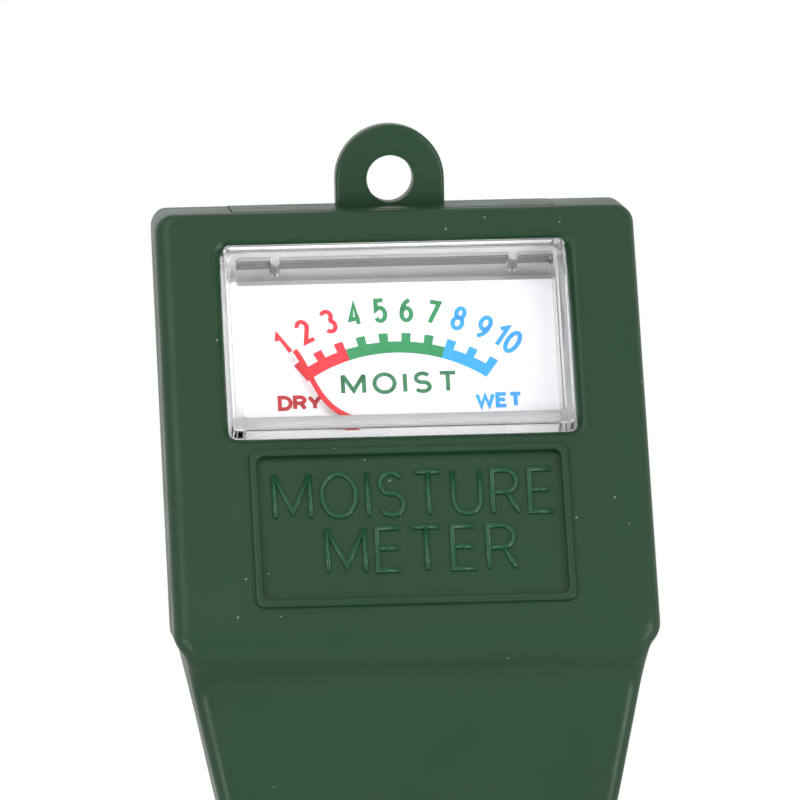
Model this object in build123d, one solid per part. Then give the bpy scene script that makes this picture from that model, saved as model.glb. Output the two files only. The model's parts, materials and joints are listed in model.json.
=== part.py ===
from build123d import *
import os
from math import cos, pi, radians, sin, sqrt, tan

os.makedirs("parts", exist_ok=True)

# A passive soil moisture meter: a moulded head on a tapered neck, with a moving-coil meter behind
# a clear window and a two-metal probe below.
# Millimetres and degrees. +Z runs up the probe's axis, the face looks towards -Y, and the origin is
# where the probe leaves the neck.

# Head and neck
head_width = 48.4
head_top = 90.5
head_back = 26.0
head_foot = 48.0
face_tilt = 30.0
back_slope_top = 64.0
back_slope_foot = 42.0
neck_depth = 13.0
neck_setback = 1.05
neck_width_top = head_width - 2 * neck_setback
neck_taper = 0.21
neck_straight = 14.7
collar_width = 13.0
collar_height = 3.0
wall = 1.8
rear_draft = 4.0
chin_radius = 3.5
chin_height = 49.25
chin_turn = 40.0
throat_radius = 4.7
top_corner_radius = 1.9
foot_corner_radius = 2.6
top_edge_radius = 1.3
face_edge_radius = 1.5
back_edge_radius = 1.5
back_corner_radius = 3.0
back_bend_radius = 6.0

# Hanging loop and the tongue that carries it
tongue_width = 32.5
tongue_setback = 1.3
tongue_proud = 0.05
tongue_gap = 0.1
tongue_edge_radius = 0.3
loop_width = 11.0
loop_hole_radius = 2.38
loop_hole_rise = 2.7
loop_thickness = 3.0
loop_setback = 5.19
loop_edge_radius = 0.4

# Window and meter unit, measured up the face (v) and out of it (n)
window_width = 34.4
window_height = 20.5
window_foot = 24.7
window_proud = 1.0
window_wall = 1.2
window_foot_wall = 1.7
window_edge_radius = 0.35
window_inner_corner = 0.4
window_gap = 0.3
window_corner = 0.6
lip_radius = 0.9
unit_shift = -0.3
unit_width = 35.2
unit_foot = 12.2
unit_top = 46.3
unit_wall = 1.0
unit_corner = 1.5
ear_reach = 2.0
ear_rises = (17.0, 32.0)
ear_half = 1.6
ear_thickness = 1.2
rib_width = 3.0
rib_inset = 0.4
screen_thickness = 0.6
screen_span = (23.4, 27.3)
flange_thickness = 1.1
flange_gap = 0.1
case_floor = -9.6
peg_radius = 0.55
peg_spacing = 24.0

# Raised frame and sunken panel under the window
panel_width = 32.0
panel_height = 17.2
panel_foot = 5.7
panel_shift = 0.0
bead_width = 0.8
bead_height = 0.4
bead_round = 0.3
panel_sink = 0.25
panel_corner = 1.0

# Movement
pivot_rise = 20.6
swing = 69.0
dial_level = -5.6
dial_thickness = 0.4
dial_width = 33.0
dial_foot = 24.6
dial_top = 43.4
dial_corner = 0.5
dial_screw_in = 1.8
dial_screw_up = 1.6
needle_level = -5.0
needle_thickness = 0.25
needle_width = 0.5
needle_hub_radius = 0.9
tail_length = 4.6
weight_radius = 0.6
core_radius = 4.2
core_length = 4.2
core_front = -7.1
coil_room = 2.1
gap_outer_radius = core_radius + coil_room
ring_thickness = 0.9
ring_radius = gap_outer_radius + ring_thickness
coil_gap = 0.35
former_thickness = 0.25
former_width = 1.8
winding_thickness = 0.95
winding_width = 1.6
staff_radius = 0.25
staff_fit = 0.05
collet_radius = 0.6
spring_radius = 2.95
spring_height = 0.35
spring_strip = 0.12
spring_turns = 4
bridge_thickness = 0.7
bridge_width = 2.6
bridge_front = -3.45
bridge_rear = -13.8
post_radius = 1.3
bearing_radius = 1.1
frame_rim = 1.6
frame_radius = ring_radius + frame_rim
post_stand = 1.1
post_spacing = 2 * (frame_radius + post_stand)
frame_screw_spacing = 16.8
frame_screw_rise = 7.0

# Probe
probe_radius = 3.0
probe_length = 185.0
tube_wall = 1.0
tube_spigot_radius = 2.7
tube_spigot = 16.0
insulator_height = 4.0
tip_height = 9.0
tip_cone = 6.5
tip_point = 0.35
rod_radius = 1.0
rod_top = 21.0
sleeve_radius = 1.95
bush_radius = 4.6
bush_height = 10.0

# Fasteners and leads
screw_radius = 1.0
screw_length = 8.4
screw_head_radius = 1.8
screw_head_height = 1.1
head_screw_inset = 4.2
head_screw_spacing = head_width - 2 * head_screw_inset
head_screw_height = 82.0
neck_screw_height = 34.0
boss_radius = 1.8
head_wall = 0.7
head_sink = 0.8
seat_wall = 1.3
screw_clearance = 0.15
screw_tip_gap = 0.4
small_screw_radius = 0.5
small_head_share = 1.9
case_screw_length = 3.2
dial_screw_length = 2.2
bridge_screw_length = 2.0
frame_screw_length = 2.8
terminal_radius = 0.7
terminal_spacing = 27.0
terminal_rise = 16.0
lead_radius = 0.6
fit_gap = 0.02
small_gap = 0.05
loose_gap = 0.1


def polar(centre, radius, angle):
    """Point at an angle round a centre in a flat sketch."""
    return (centre[0] + radius * cos(radians(angle)), centre[1] + radius * sin(radians(angle)))


def round_corner(sketch, point, radius):
    """Round the sketch's corner nearest to a point."""
    corner = sketch.vertices().sort_by_distance(Vector(point[0], point[1], 0))[0]
    return fillet(corner, radius)


# Side view of head and neck. The chin and throat arcs run from the face into the neck.
half_width = head_width / 2
half_depth = neck_depth / 2
tilt = radians(face_tilt)
chin_step = (chin_radius + throat_radius) * (1 - cos(radians(chin_turn)))
chin_centre = (chin_radius - half_depth - chin_step, chin_height)
chin_top = polar(chin_centre, chin_radius, 180 - face_tilt)
chin_foot = polar(chin_centre, chin_radius, 180 + chin_turn)
throat_centre = polar(chin_foot, throat_radius, 180 + chin_turn)
throat_foot = polar(throat_centre, throat_radius, 0)
brow = (chin_top[0] + (head_top - chin_top[1]) * tan(tilt), head_top)
face_foot_y = chin_top[0] - (chin_top[1] - head_foot) * tan(tilt)

# The face's own frame: u across, v up the face from its foot, n out of it.
face = Plane(origin=(0, face_foot_y, head_foot), x_dir=(1, 0, 0), z_dir=(0, -cos(tilt), sin(tilt)))
unit = Plane(
    origin=face.from_local_coords(Vector(unit_shift, 0, 0)),
    x_dir=face.x_dir,
    z_dir=face.z_dir,
)
seam_level = face_foot_y * cos(tilt)


def side_profile():
    """Head and neck seen from +X, as a sketch of (y, z)."""
    outline = [
        Line((-half_depth, 0), throat_foot),
        ThreePointArc(throat_foot, polar(throat_centre, throat_radius, chin_turn / 2), chin_foot),
        ThreePointArc(chin_foot, polar(chin_centre, chin_radius, 180), chin_top),
        Line(chin_top, brow),
        Line(brow, (head_back, head_top)),
        Line((head_back, head_top), (head_back, back_slope_top)),
        Line((head_back, back_slope_top), (half_depth, back_slope_foot)),
        Line((half_depth, back_slope_foot), (half_depth, 0)),
        Line((half_depth, 0), (-half_depth, 0)),
    ]
    sketch = make_face(outline)
    sketch = round_corner(sketch, (head_back, back_slope_top), back_bend_radius)
    sketch = round_corner(sketch, (half_depth, back_slope_foot), back_bend_radius)
    sketch = round_corner(sketch, (head_back, head_top), back_edge_radius)
    return round_corner(sketch, brow, top_edge_radius)


def front_profile():
    """Head and neck seen from the front, as a sketch of (x, z)."""
    corner = (half_width - foot_corner_radius, head_foot + foot_corner_radius)
    shoulder_x = neck_width_top / 2
    shoulder_z = corner[1] - sqrt(foot_corner_radius**2 - (shoulder_x - corner[0]) ** 2)
    waist = (shoulder_x - neck_straight * neck_taper, shoulder_z - neck_straight)
    collar = (collar_width / 2, collar_height)
    outline = [
        Line((0, 0), (collar[0], 0)),
        Line((collar[0], 0), collar),
        TangentArc(waist, collar, tangent=(waist[0] - shoulder_x, waist[1] - shoulder_z)),
        Line(waist, (shoulder_x, shoulder_z)),
        ThreePointArc(
            (shoulder_x, shoulder_z),
            polar(corner, foot_corner_radius, -30),
            (half_width, corner[1]),
        ),
        Line((half_width, corner[1]), (half_width, head_top)),
        Line((half_width, head_top), (0, head_top)),
        Line((0, head_top), (0, 0)),
    ]
    sketch = make_face(outline)
    sketch = round_corner(sketch, (half_width, head_top), top_corner_radius)
    sketch = round_corner(sketch, (shoulder_x, shoulder_z), top_corner_radius)
    return Sketch() + [sketch, mirror(sketch, about=Plane.YZ)]


def draft_prism(inset):
    """Straight sides in front of the seam and drafted sides behind it, running up the face."""
    far = 70.0
    low = half_width - inset - far * tan(radians(rear_draft))
    points = [
        (half_width - inset, far),
        (half_width - inset, seam_level),
        (low, seam_level - far),
        (-low, seam_level - far),
        (inset - half_width, seam_level),
        (inset - half_width, far),
    ]
    section = Plane(origin=face.origin, x_dir=(1, 0, 0), z_dir=-face.y_dir) * make_face(
        Polyline(points, close=True)
    )
    return extrude(section, amount=3 * far, both=True)


def plan_profile():
    """The head seen from above, with its back corners rounded, as a sketch of (x, y)."""
    plan = Pos(0, head_back - head_width / 2) * Rectangle(head_width, head_width)
    for side in (-1, 1):
        plan = round_corner(plan, (side * half_width, head_back), back_corner_radius)
    return plan


def body_block(inset):
    """Head and neck as one block, every side moved in by the inset."""
    side = side_profile()
    front = front_profile()
    plan = plan_profile()
    if inset:
        side = offset(side, -inset)
        front = offset(front, -inset)
        plan = offset(plan, -inset)
    reach = 2 * head_width
    body = extrude(Plane.YZ * side, amount=reach, both=True)
    body = body & extrude(Plane.XZ * front, amount=reach, both=True)
    return body & extrude(plan, amount=reach, both=True) & draft_prism(inset)


def front_side():
    """Everything in front of the seam: upright along the neck, parallel to the face in the head."""
    far = 2 * head_width
    seam = [
        (-far, -far),
        (0, -far),
        (0, head_foot),
        (far * tan(tilt), head_foot + far),
        (-far, head_foot + far),
    ]
    return extrude(Plane.YZ * make_face(Polyline(seam, close=True)), amount=far, both=True)


def block(u, v, n):
    """Box between pairs of limits in the face's frame."""
    centre = Pos((u[0] + u[1]) / 2, (v[0] + v[1]) / 2, (n[0] + n[1]) / 2)
    return centre * Box(u[1] - u[0], v[1] - v[0], n[1] - n[0])


def post(u, v, n, radius):
    """Round bar along the face's normal between two levels."""
    return Pos(u, v, (n[0] + n[1]) / 2) * Cylinder(radius, n[1] - n[0])


def rounded_plate(centre, size, corner, n):
    """Plate with rounded corners between two levels in the face's frame."""
    outline = RectangleRounded(size[0], size[1], corner)
    return Pos(centre[0], centre[1], n[0]) * extrude(outline, n[1] - n[0])


def bar_y(x, z, y, radius):
    """Round bar along Y between two depths."""
    return Pos(x, (y[0] + y[1]) / 2, z) * Rot(90, 0, 0) * Cylinder(radius, y[1] - y[0])


def bar_z(z, radius, inner=0.0):
    """Round bar or tube on the probe's axis between two heights."""
    bar = Pos(0, 0, (z[0] + z[1]) / 2) * Cylinder(radius, z[1] - z[0])
    if inner:
        bar -= Pos(0, 0, (z[0] + z[1]) / 2) * Cylinder(inner, z[1] - z[0])
    return bar


def seat(shape, plane=unit):
    """Move a piece from the face's frame to its place."""
    return plane.location * shape


window_centre = (0, window_foot + window_height / 2)
flange_front = -wall - flange_gap
flange_back = flange_front - flange_thickness
case_front = flange_back
bridge_back = bridge_front - bridge_thickness
pivot = (0, pivot_rise)
rest_turn = swing / 2
head_screws = [(s * head_screw_spacing / 2, head_screw_height) for s in (-1, 1)]
screw_places = head_screws + [(0, neck_screw_height)]
unit_screws = [(s * (unit_width / 2 + ear_reach), v) for s in (-1, 1) for v in ear_rises]


def seam_y(z):
    """Depth of the seam at a height."""
    return max(0.0, (z - head_foot) * tan(tilt))


def dial_screw(side):
    """Place of a dial screw on the face, at one side."""
    return (side * (dial_width / 2 - dial_screw_in), dial_foot + dial_screw_up)


def back_y(z):
    """Depth of the back surface at the height of a fastener."""
    return head_back if z > back_slope_top else half_depth


def screw_seat(z):
    """Depth at which a housing screw's head bears."""
    return back_y(z) - screw_head_height - head_sink


def front_shell():
    """Front moulding with the window opening, the framed panel, bosses and the tongue's notch."""
    outer = body_block(0)
    rims = [e for e in outer.edges().filter_by(GeomType.LINE) if e.length > 40 and abs(e.center().X) > 20]
    rims = [e for e in rims if e.center().Y < seam_y(head_top) / 2]
    shell = fillet(rims, face_edge_radius)
    shell = (shell & front_side()) - body_block(wall)
    opening = rounded_plate(
        window_centre,
        (window_width + 2 * window_gap, window_height + 2 * window_gap),
        window_corner + window_gap,
        (-wall - 1, 1),
    )
    shell -= seat(opening)
    window_place = unit.from_local_coords(Vector(window_centre[0], window_centre[1], 0))
    near = window_width * 0.62
    lips = [e for e in shell.edges() if abs(face.to_local_coords(e.center()).Z) < 0.01]
    lips = [e for e in lips if (e.center() - window_place).length < near and e.length < window_width + 1]
    lips = [e for e in lips if face.to_local_coords(e.center()).Y > window_foot - 1]
    lips = [e for e in lips if abs(e.center().X - unit_shift) < window_width / 2 + 1]
    shell = fillet(lips, lip_radius)
    centre = (panel_shift, panel_foot + panel_height / 2)
    size = (panel_width, panel_height)
    inner = (panel_width - 2 * bead_width, panel_height - 2 * bead_width)
    bead = rounded_plate(centre, size, panel_corner, (-bead_height, bead_height))
    bead = fillet(bead.faces().sort_by(Axis.Z)[-1].edges(), bead_round)
    sunk = rounded_plate(centre, inner, panel_corner - bead_round, (-panel_sink, 2))
    bead -= rounded_plate(centre, inner, panel_corner - bead_round, (-bead_height, 2))
    bead = fillet(bead.faces().sort_by(Axis.Z)[-1].inner_wires()[0].edges(), bead_round * 0.7)
    shell -= seat(sunk, face)
    shell += seat(bead, face)
    for u, v in unit_screws:
        shell += seat(post(u, v, (case_front, -wall / 2), ear_half - loose_gap))
        shell -= seat(post(u, v, (case_front - 1, -wall * 0.4), small_screw_radius + fit_gap))
    inside = body_block(wall / 2)
    for x, z in screw_places:
        boss = bar_y(x, z, (seam_y(z) - neck_depth, seam_y(z)), boss_radius)
        shell += boss & inside & front_side()
        tip = screw_seat(z) - screw_length
        shell -= bar_y(x, z, (tip - screw_tip_gap, seam_y(z) + 1), screw_radius + fit_gap)
    tongue_front = brow[0] + tongue_setback
    notch = Pos(0, (tongue_front + head_back) / 2, head_top) * Box(
        tongue_width + 2 * tongue_gap,
        head_back - tongue_front + 2 * tongue_gap,
        2 * wall + 2 * tongue_gap,
    )
    shell -= notch
    shell -= bar_z((-1, wall + 1), tube_spigot_radius + fit_gap)
    return shell


def hanging_loop():
    """Upright eye with a round hole, standing on the tongue."""
    foot = head_top + tongue_proud
    rise = foot + loop_hole_rise
    y_front = brow[0] + loop_setback
    outline = make_face(
        [
            Line((-loop_width / 2, foot - wall / 2), (loop_width / 2, foot - wall / 2)),
            Line((loop_width / 2, foot - wall / 2), (loop_width / 2, rise)),
            ThreePointArc((loop_width / 2, rise), (0, rise + loop_width / 2), (-loop_width / 2, rise)),
            Line((-loop_width / 2, rise), (-loop_width / 2, foot - wall / 2)),
        ]
    )
    loop = Pos(0, y_front + loop_thickness, 0) * extrude(Plane.XZ * outline, loop_thickness)
    rim = [e for e in loop.edges().filter_by(GeomType.CIRCLE)]
    loop = fillet(rim, loop_edge_radius)
    loop -= bar_y(0, rise, (y_front - 1, y_front + loop_thickness + 1), loop_hole_radius)
    return loop


def rear_cover():
    """Rear moulding with screw bosses, and a tongue on top that carries the hanging loop."""
    cover = (body_block(0) - front_side()) - body_block(wall)
    inside = body_block(wall / 2)
    for x, z in screw_places:
        boss = bar_y(x, z, (seam_y(z), back_y(z)), boss_radius)
        boss += bar_y(x, z, (screw_seat(z) - seat_wall, back_y(z)), screw_head_radius + head_wall)
        cover += (boss & inside) - front_side()
        cover -= bar_y(x, z, (seam_y(z) - 1, back_y(z) + 1), screw_radius + screw_clearance)
        cover -= bar_y(x, z, (screw_seat(z), back_y(z) + 1), screw_head_radius + screw_clearance)
    tongue_front = brow[0] + tongue_setback + tongue_gap
    tongue_back = seam_y(head_top)
    tongue = Pos(0, (tongue_front + tongue_back) / 2, head_top + (tongue_proud - wall) / 2) * Box(
        tongue_width,
        tongue_back - tongue_front,
        wall + tongue_proud,
    )
    tongue = fillet(tongue.edges().group_by(Axis.Y)[0].sort_by(Axis.Z)[-1], tongue_edge_radius)
    cover += tongue
    cover += hanging_loop()
    cover -= bar_z((-1, wall + 1), tube_spigot_radius + fit_gap)
    return cover


def screw(radius, length, head_radius, head_height):
    """Pan-head screw with a cross recess, its head's seat at z = 0 and its tip below."""
    body = Pos(0, 0, -length / 2) * Cylinder(radius, length)
    body = chamfer(body.faces().sort_by(Axis.Z)[0].edges(), radius * 0.5)
    head = Pos(0, 0, head_height / 2) * Cylinder(head_radius, head_height)
    head = fillet(head.faces().sort_by(Axis.Z)[-1].edges(), head_height * 0.4)
    slot = head_radius * 0.28
    for turn in (0, 90):
        head -= Pos(0, 0, head_height) * Rot(0, 0, turn) * Box(head_radius * 1.2, slot, head_height)
    return body + head


def housing_screws():
    """Self-tapping screws that hold the rear cover on."""
    one = screw(screw_radius, screw_length, screw_head_radius, screw_head_height)
    return [Pos(x, screw_seat(z), z) * Rot(-90, 0, 0) * one for x, z in screw_places]


def window_cover():
    """Clear moulding: a window box that stands proud of the face, on a flange behind it."""
    size = (window_width, window_height)
    inner = (window_width - 2 * window_wall, window_height - window_wall - window_foot_wall)
    inner_centre = (0, window_foot + window_foot_wall + inner[1] / 2)
    top = window_proud
    cover = rounded_plate(window_centre, size, window_corner, (flange_back, top))
    cover = fillet(cover.faces().sort_by(Axis.Z)[-1].edges(), window_edge_radius)
    middle = (unit_foot + unit_top) / 2
    plate = (unit_width, unit_top - unit_foot)
    cover += rounded_plate((0, middle), plate, unit_corner, (flange_back, flange_front))
    cover -= rounded_plate(inner_centre, inner, window_inner_corner, (flange_back - 1, top - window_wall))
    inner_top = inner_centre[1] + inner[1] / 2
    for side in (-1, 1):
        u = side * peg_spacing / 2
        cover += post(u, inner_top - peg_radius * 0.6, (flange_back, top - window_wall / 2), peg_radius)
    return seat(cover)


def meter_case():
    """Moulded tray that holds the movement and the dial behind the window cover."""
    middle = (unit_foot + unit_top) / 2
    height = unit_top - unit_foot
    tray = rounded_plate((0, middle), (unit_width, height), unit_corner, (case_floor, case_front))
    hollow = (unit_width - 2 * unit_wall, height - 2 * unit_wall)
    tray -= rounded_plate((0, middle), hollow, unit_corner - unit_wall, (case_floor + unit_wall, 0))
    for side in (-1, 1):
        u = sorted((side * (dial_width / 2 - rib_width), side * (unit_width / 2 - unit_wall / 2)))
        rib_v = (dial_foot + rib_inset, dial_top - rib_inset)
        tray += block(u, rib_v, (case_floor, dial_level - dial_thickness))
        tray -= post(*dial_screw(side), (case_floor + 1, 0), small_screw_radius + fit_gap)
        tray -= post(side * post_spacing / 2, pivot_rise, (case_floor - 1, 0), post_radius + loose_gap)
        tray -= post(
            side * terminal_spacing / 2, terminal_rise, (case_floor - 1, -1), terminal_radius + fit_gap
        )
        tray -= post(
            side * frame_screw_spacing / 2,
            pivot_rise + frame_screw_rise,
            (case_floor - 1, 0),
            small_screw_radius + fit_gap,
        )
    tray -= post(0, pivot_rise, (case_floor - 1, 0), ring_radius + loose_gap)
    for u, v in unit_screws:
        outward = 1 if u > 0 else -1
        ear = sorted((u + outward * ear_half * 0.75, outward * (unit_width / 2 - unit_wall / 2)))
        tray += block(ear, (v - ear_half, v + ear_half), (case_front - ear_thickness, case_front))
        tray -= post(u, v, (case_front - 3, case_front + 1), small_screw_radius + loose_gap)
    return seat(tray)


def small_screws(places, level, length, towards=-1):
    """Group of small pan-head screws whose heads bear at a level and whose tips point in or out."""
    head = small_screw_radius * small_head_share
    one = screw(small_screw_radius, length, head, head / 3)
    if towards > 0:
        one = Rot(180, 0, 0) * one
    return [seat(Pos(u, v, level) * one) for u, v in places]


def case_screws():
    """Screws through the tray's ears into the front shell."""
    return small_screws(unit_screws, case_front - ear_thickness, case_screw_length, towards=1)


def movement_screen():
    """Strip behind the window's foot that hides the movement."""
    reach = unit_width / 2 - unit_wall - loose_gap
    return seat(block((-reach, reach), screen_span, (case_front - screen_thickness, case_front)))


def dial_plate():
    """Printed plate behind the window."""
    middle = (dial_foot + dial_top) / 2
    plate = rounded_plate(
        (0, middle),
        (dial_width, dial_top - dial_foot),
        dial_corner,
        (dial_level - dial_thickness, dial_level),
    )
    for side in (-1, 1):
        plate -= post(*dial_screw(side), (case_floor, 0), small_screw_radius + small_gap)
    return seat(plate)


def dial_screws():
    """Screws at the dial's lower corners."""
    return small_screws([dial_screw(s) for s in (-1, 1)], dial_level, dial_screw_length)


def turned(shape):
    """Place a piece of the moving system, drawn at mid scale, at the low end of the scale."""
    return seat(Pos(pivot[0], pivot[1], 0) * Rot(0, 0, rest_turn) * shape)


def needle():
    """Flat needle with the gooseneck bend that is set by hand, a hub and a tail."""
    top = needle_level + needle_thickness
    path = Spline((0.9, 2.0), (1.45, 4.6), (1.15, 7.6), (0.1, 9.4), (-0.55, 11.2), (-0.3, 15.0), (0.2, 18.3))
    strip = extrude(trace(path, needle_width), needle_thickness)
    root = Polyline((0, 0), (0.9, 2.0), (1.05, 2.6))
    strip += extrude(trace(root, needle_width), needle_thickness)
    strip += Pos(0, -tail_length / 2, needle_thickness / 2) * Box(needle_width, tail_length, needle_thickness)
    strip = Pos(0, 0, needle_level) * strip
    strip += post(0, 0, (needle_level - 0.1, top), needle_hub_radius)
    strip -= post(0, 0, (needle_level - 1, top + 1), staff_radius)
    return turned(strip)


def counterweight():
    """Brass sleeve on the needle's tail."""
    middle = -tail_length + 1.0
    level = needle_level + needle_thickness / 2
    sleeve = Pos(0, middle, level) * Rot(90, 0, 0) * Cylinder(weight_radius, 1.4)
    sleeve -= Pos(0, middle, level) * Box(needle_width, 3, needle_thickness)
    return turned(sleeve)


def coil_loop(half_in, half_out, width, inner, outer):
    """Rectangular frame round the core: half widths in and out, and its inner and outer levels."""
    frame = block((-half_out, half_out), (-width / 2, width / 2), outer)
    return frame - block((-half_in, half_in), (-width, width), inner)


core_back = core_front - core_length
former_in = core_radius + coil_gap
former_out = former_in + former_thickness
winding_out = former_out + winding_thickness
end_gap = 0.4
end_thickness = 0.35
former_span = (core_back - end_gap, core_front + end_gap)
former_reach = (former_span[0] - former_thickness, former_span[1] + former_thickness)
winding_reach = (former_reach[0] - end_thickness, former_reach[1] + end_thickness)


def coil_former():
    """Aluminium frame that the coil is wound on."""
    return turned(coil_loop(former_in, former_out, former_width, former_span, former_reach))


def moving_coil():
    """Copper winding round the former."""
    return turned(coil_loop(former_out, winding_out, winding_width, former_reach, winding_reach))


front_staff_tip = bridge_back - 0.05
rear_staff_tip = bridge_rear
collet_front = winding_reach[1] + 0.3
collet_rear = winding_reach[0] - 0.3


def pivot_staffs():
    """Front and rear staffs, each with a foot on the coil and a collet for its hairspring."""
    front = post(0, 0, (winding_reach[1], front_staff_tip), staff_radius)
    front += post(0, 0, (winding_reach[1], winding_reach[1] + 0.2), needle_hub_radius)
    front += post(0, 0, (collet_front, collet_front + spring_height), collet_radius)
    rear = post(0, 0, (rear_staff_tip, winding_reach[0]), staff_radius)
    rear += post(0, 0, (winding_reach[0] - 0.2, winding_reach[0]), needle_hub_radius)
    rear += post(0, 0, (collet_rear - spring_height, collet_rear), collet_radius)
    return [turned(front), turned(rear)]


def hairspring(level):
    """Flat spiral spring between the collet and its outer anchor."""
    start = collet_radius + 0.08
    pitch = (spring_radius - start) / spring_turns
    steps = 8 * spring_turns

    def curve(shift):
        turns = [i / 8 for i in range(steps + 1)]
        return [polar((0, 0), start + shift + pitch * t, 360 * t) for t in turns]

    inner = curve(0)
    outer = curve(spring_strip)
    strip = make_face(
        [
            Spline(inner),
            Line(inner[-1], outer[-1]),
            Spline(outer),
            Line(outer[0], inner[0]),
        ]
    )
    return seat(Pos(pivot[0], pivot[1], level) * extrude(strip, spring_height))


def bearing_screw(low, high, towards):
    """Slotted screw with a jewel cup for the staff's tip; towards is +1 where the slot faces out."""
    body = post(0, pivot_rise, (low, high), bearing_radius)
    if towards > 0:
        body -= post(0, pivot_rise, (low - 1, front_staff_tip + 0.08), staff_radius + staff_fit)
        body -= block((-2, 2), (pivot_rise - 0.15, pivot_rise + 0.15), (high - 0.25, high + 1))
    else:
        body -= post(0, pivot_rise, (rear_staff_tip - 0.08, high + 1), staff_radius + staff_fit)
        body -= block((-2, 2), (pivot_rise - 0.15, pivot_rise + 0.15), (low - 1, low + 0.25))
    return seat(body)


def front_bearing():
    """Front bearing screw in the front bridge."""
    return bearing_screw(bridge_back - 0.35, bridge_front + 0.3, 1)


def rear_bearing():
    """Rear bearing screw in the rear bridge."""
    return bearing_screw(bridge_rear - bridge_thickness - 0.4, bridge_rear + 0.3, -1)


def bridge(n, screw_holes):
    """Strip across the movement between its two posts, bored for the bearing screw."""
    length = post_spacing + bridge_width
    strip = rounded_plate(pivot, (length, bridge_width), bridge_width / 2 - 0.05, n)
    strip += post(0, pivot_rise, n, bearing_radius + 0.9)
    strip -= post(0, pivot_rise, (n[0] - 1, n[1] + 1), bearing_radius)
    for side in (-1, 1):
        strip -= post(side * post_spacing / 2, pivot_rise, (n[0] - 1, n[1] + 1), screw_holes)
    return strip


anchor = (spring_radius + spring_strip + 0.08, spring_radius + spring_strip + 0.58)


def front_bridge():
    """Front bridge over the needle's hub."""
    return seat(bridge((bridge_back, bridge_front), small_screw_radius + 0.05))


def rear_bridge():
    """Rear bridge, with the finger that anchors the rear hairspring."""
    strip = bridge((bridge_rear - bridge_thickness, bridge_rear), small_screw_radius + 0.05)
    strip += block(anchor, (pivot_rise - 0.4, pivot_rise + 0.4), (bridge_rear - 0.1, collet_rear))
    return seat(strip)


def zero_arm():
    """Arm under the front bridge that holds the front hairspring and sets the needle's zero."""
    n = (bridge_back - 0.3, bridge_back)
    arm = post(0, pivot_rise, n, bearing_radius + 0.8)
    arm += block((0, anchor[1]), (pivot_rise - 0.5, pivot_rise + 0.5), n)
    arm -= post(0, pivot_rise, (n[0] - 1, n[1] + 1), bearing_radius)
    arm += block(anchor, (pivot_rise - 0.4, pivot_rise + 0.4), (collet_front, n[0] + 0.1))
    return seat(arm)


def bridge_screws():
    """Screws that hold both bridges on the posts."""
    places = [(s * post_spacing / 2, pivot_rise) for s in (-1, 1)]
    front = small_screws(places, bridge_front, bridge_screw_length)
    rear = small_screws(places, bridge_rear - bridge_thickness, bridge_screw_length, towards=1)
    return front + rear


frame_back = core_back - 0.2
frame_front = case_floor - 0.05


def movement_frame():
    """Die-cast frame: a plate round the ring, arms to the core and posts for the bridges."""
    n = (frame_back, frame_front)
    frame = post(0, pivot_rise, n, frame_radius)
    reach = post_spacing / 2 + post_radius
    frame += block((-reach, reach), (pivot_rise - 2.0, pivot_rise + 2.0), n)
    ear = frame_screw_spacing / 2 + 1.6
    ear_v = (pivot_rise + frame_screw_rise - 1.6, pivot_rise + frame_screw_rise + 1.6)
    frame += block((-ear, ear), ear_v, n)
    frame -= post(0, pivot_rise, (n[0] - 1, n[1] + 1), ring_radius + fit_gap)
    lip = (frame_back - 0.6, frame_back)
    tapped = small_screw_radius + fit_gap
    frame += post(0, pivot_rise, lip, frame_radius) - post(0, pivot_rise, lip, gap_outer_radius + 0.1)
    for side in (-1, 1):
        arm_v = sorted((pivot_rise + side * 2.2, pivot_rise + side * (gap_outer_radius + 0.3)))
        frame += block((-1.1, 1.1), arm_v, (frame_back - 0.4, frame_back))
        pad_v = sorted((pivot_rise + side * 2.2, pivot_rise + side * 3.9))
        frame += block((-1.1, 1.1), pad_v, (frame_back - 0.1, core_back))
        u = side * post_spacing / 2
        frame += post(u, pivot_rise, (bridge_rear, bridge_back), post_radius)
        frame -= post(u, pivot_rise, (bridge_rear - 1, bridge_rear + bridge_screw_length), tapped)
        frame -= post(u, pivot_rise, (bridge_back - bridge_screw_length, bridge_back + 1), tapped)
        frame -= post(
            side * frame_screw_spacing / 2,
            pivot_rise + frame_screw_rise,
            (frame_back - 1, frame_front + 1),
            small_screw_radius + 0.1,
        )
    return seat(frame)


def frame_screws():
    """Screws from behind the frame into the tray's floor."""
    places = [(s * frame_screw_spacing / 2, pivot_rise + frame_screw_rise) for s in (-1, 1)]
    return small_screws(places, frame_back, frame_screw_length, towards=1)


def return_ring():
    """Soft iron ring round the coil."""
    ring = post(0, pivot_rise, (frame_back, core_front + 0.2), ring_radius)
    ring -= post(0, pivot_rise, (frame_back - 1, core_front + 1), gap_outer_radius)
    return seat(ring)


def core_magnet():
    """Cylindrical magnet inside the coil."""
    return seat(post(0, pivot_rise, (core_back, core_front), core_radius))


terminal_tip = case_floor - 1.8


def terminals():
    """Brass pins through the tray's floor."""
    pins = []
    for side in (-1, 1):
        pin = post(side * terminal_spacing / 2, terminal_rise, (terminal_tip, case_floor + 2), terminal_radius)
        collar_n = (case_floor + unit_wall, case_floor + unit_wall + 0.5)
        pin += post(side * terminal_spacing / 2, terminal_rise, collar_n, terminal_radius + 0.6)
        pins.append(seat(pin))
    return pins


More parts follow.
